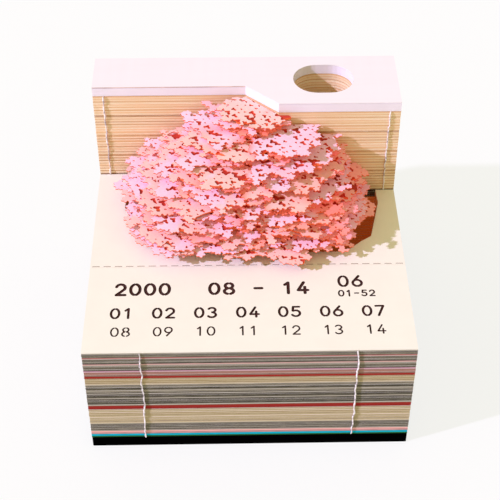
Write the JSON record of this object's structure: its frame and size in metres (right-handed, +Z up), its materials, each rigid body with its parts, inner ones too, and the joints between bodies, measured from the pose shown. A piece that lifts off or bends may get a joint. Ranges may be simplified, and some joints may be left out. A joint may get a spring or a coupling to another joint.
{
  "type": "weekly planner pad",
  "caption": "Square tear-off weekly paper block with a bound stepped spine, a pen slot, a perforated date strip and a layered paper blossom tree standing in a well cut through its sheets.",
  "frame": {"origin": "middle of the base board's underside", "axes": "+Z up, the date strip's front edge faces -Y, the spine is at +Y and the pen slot on the +X side"},
  "size_m": [0.09, 0.0908, 0.0719],
  "materials": {
    "black_card": "matt black",
    "green_paper": "matt",
    "cyan_paper": "matt",
    "pink_paper": "matt",
    "grey_paper": "matt, cut edges",
    "cream_paper": "matt, cut edges",
    "red_paper": "matt",
    "blush_paper": "matt",
    "lilac_paper": "matt",
    "rose_paper": "matt",
    "page_paper": "matt, warm white",
    "spine_paper": "matt, scorched by the laser cut",
    "cover_card": "matt, fine grain",
    "padding_glue": "dried white glue",
    "bark_paper": "matt, brown",
    "blossom_lilac": "matt, lilac pink with scorched edges",
    "blossom_peach": "matt, peach pink with scorched edges"
  },
  "bodies": {
    "pad": {"base_board": "black_card", "green_divider": "green_paper", "cyan_divider": "cyan_paper", "pink_divider": "pink_paper", "grey_pages_lower": "grey_paper", "cream_pages_lower": "cream_paper", "red_divider_lower": "red_paper", "grey_pages_middle": "grey_paper", "cream_pages_upper": "cream_paper", "red_divider_upper": "red_paper", "blush_pages": "blush_paper", "lilac_divider": "lilac_paper", "grey_pages_third": "grey_paper", "pale_pink_divider": "pink_paper", "grey_pages_second": "grey_paper", "rose_divider": "rose_paper", "grey_pages_first": "grey_paper", "spine_stubs_lower": "spine_paper", "spine_stubs_1": "spine_paper", "spine_stubs_2": "spine_paper", "spine_stubs_3": "spine_paper", "spine_stubs_4": "spine_paper", "cover_board": "cover_card", "cover_sheet": "cover_card", "front_glue_bead_left": "padding_glue", "front_glue_bead_right": "padding_glue", "spine_glue_bead_left": "padding_glue", "spine_glue_bead_right": "padding_glue", "tree_roots": "bark_paper", "trunk_lower": "bark_paper", "trunk_upper": "bark_paper", "branch_fork": "bark_paper", "branch_spread": "bark_paper", "blossom_layer_01": "blossom_peach", "blossom_layer_02": "blossom_lilac", "blossom_layer_03": "blossom_peach", "blossom_layer_04": "blossom_lilac", "blossom_layer_05": "blossom_peach", "blossom_layer_06": "blossom_lilac", "blossom_layer_07": "blossom_peach", "blossom_layer_08": "blossom_lilac", "blossom_layer_09": "blossom_peach", "blossom_layer_10": "blossom_lilac", "blossom_layer_11": "blossom_peach", "blossom_layer_12": "blossom_lilac", "blossom_layer_13": "blossom_peach", "blossom_layer_14": "blossom_lilac", "blossom_layer_15": "blossom_peach", "blossom_layer_16": "blossom_lilac", "blossom_layer_17": "blossom_lilac", "blossom_layer_18": "blossom_peach", "blossom_layer_19": "blossom_lilac", "blossom_layer_20": "blossom_peach", "blossom_layer_21": "blossom_lilac", "blossom_layer_22": "blossom_peach"},
    "week_page": {"week_page": "page_paper", "perforation_web": "page_paper"},
    "date_strip": {"date_strip": "page_paper"}
  },
  "joints": [
    {"name": "week_page_pull", "type": "slide", "parent": "pad", "child": "week_page", "axis": [0, -1, 0], "range_m": [0, 0.076]},
    {"name": "date_strip_fold", "type": "hinge", "parent": "week_page", "child": "date_strip", "pos_m": [0, -0.0121, 0.03925], "axis": [-1, 0, 0], "range_deg": [0, 24]}
  ]
}
